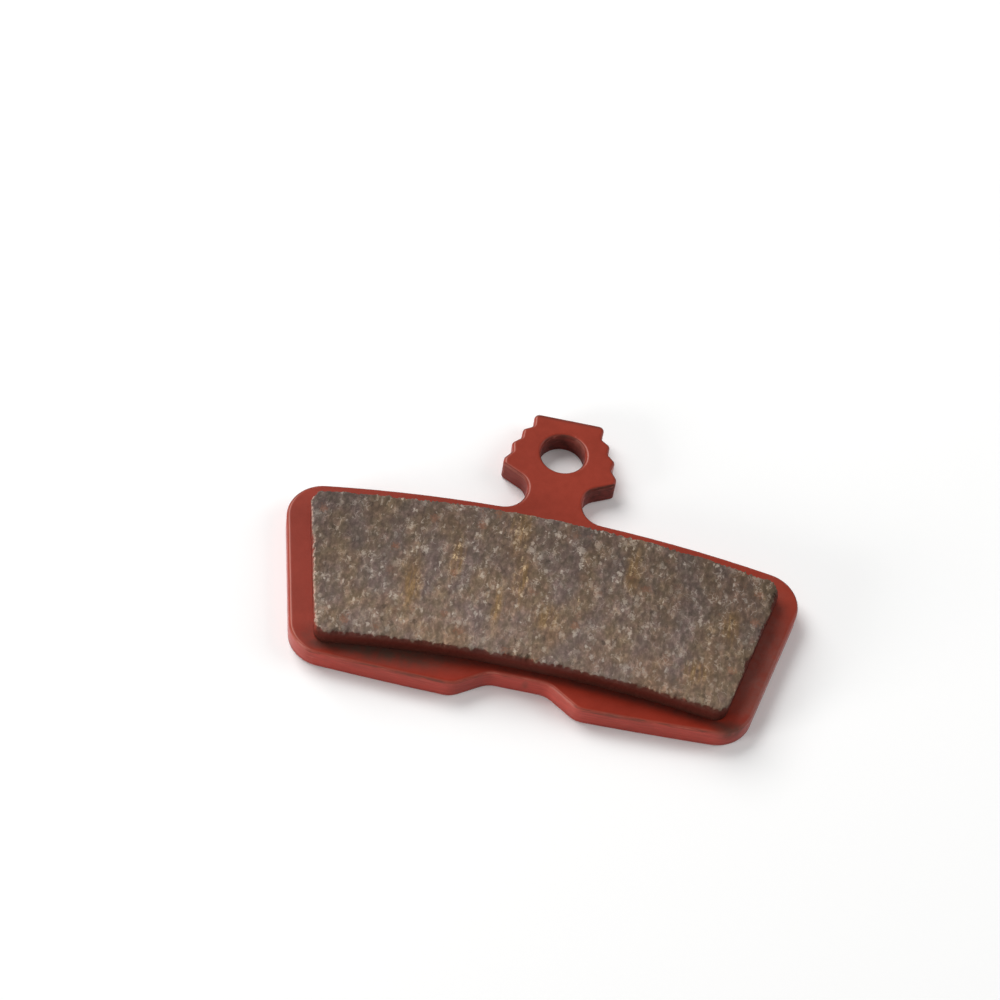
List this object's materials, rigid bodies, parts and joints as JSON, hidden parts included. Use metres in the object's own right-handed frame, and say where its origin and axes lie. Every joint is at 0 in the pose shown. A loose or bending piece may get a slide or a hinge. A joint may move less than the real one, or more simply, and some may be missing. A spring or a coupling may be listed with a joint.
{
  "type": "bicycle disc brake pad",
  "caption": "Flat disc brake pad: a bowed block of ground friction compound bonded to a red painted steel plate, hung in its caliper by the pin hole in a toothed tab.",
  "frame": {"origin": "centre of the pin hole in the tab, on the plate's back face", "axes": "+X along the pad's length, +Y from the pad towards the tab, +Z from the back face to the friction face, as the pad lies on its back"},
  "size_m": [0.0414, 0.0274, 0.0037],
  "materials": {
    "backing_plate": "satin",
    "friction_block": "matte"
  },
  "bodies": {
    "root": {"backing_plate": "backing_plate", "friction_block": "friction_block"}
  },
  "joints": []
}
